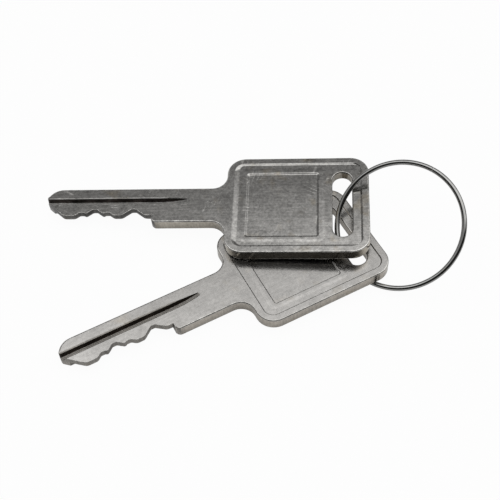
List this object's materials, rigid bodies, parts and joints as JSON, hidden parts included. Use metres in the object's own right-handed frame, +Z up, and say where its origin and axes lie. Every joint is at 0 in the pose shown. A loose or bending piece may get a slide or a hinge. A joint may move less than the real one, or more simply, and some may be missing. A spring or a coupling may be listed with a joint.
{
  "type": "car key pair on a ring",
  "caption": "Flat metal car keys with square coined heads and milled, cut blades, threaded on a thin wire ring that carries them together.",
  "frame": {"origin": "on the table, under the middle of the bounding box of the three pieces as they lie", "axes": "+Z up from the table, +X to the right from the key tips towards the ring, +Y away from the viewer"},
  "size_m": [0.0788, 0.0434, 0.0127],
  "materials": {
    "worn_nickel": "tumbled nickel plate, worn dull",
    "bright_nickel": "satin nickel plate",
    "ring_wire": "polished wire"
  },
  "bodies": {
    "lower_key": {"lower_key": "bright_nickel"},
    "key_ring": {"key_ring": "ring_wire"},
    "upper_key": {"upper_key": "worn_nickel"}
  },
  "joints": [
    {"name": "ring_turn", "type": "hinge", "parent": "lower_key", "child": "key_ring", "pos_m": [0.02751, 0.0051, 0.00633], "axis": [-0.3023, -0.3852, 0.8719], "continuous": true},
    {"name": "upper_key_travel", "type": "hinge", "parent": "lower_key", "child": "upper_key", "pos_m": [0.02751, 0.0051, 0.00633], "axis": [-0.3023, -0.3852, 0.8719], "range_deg": [-225, 0]}
  ]
}
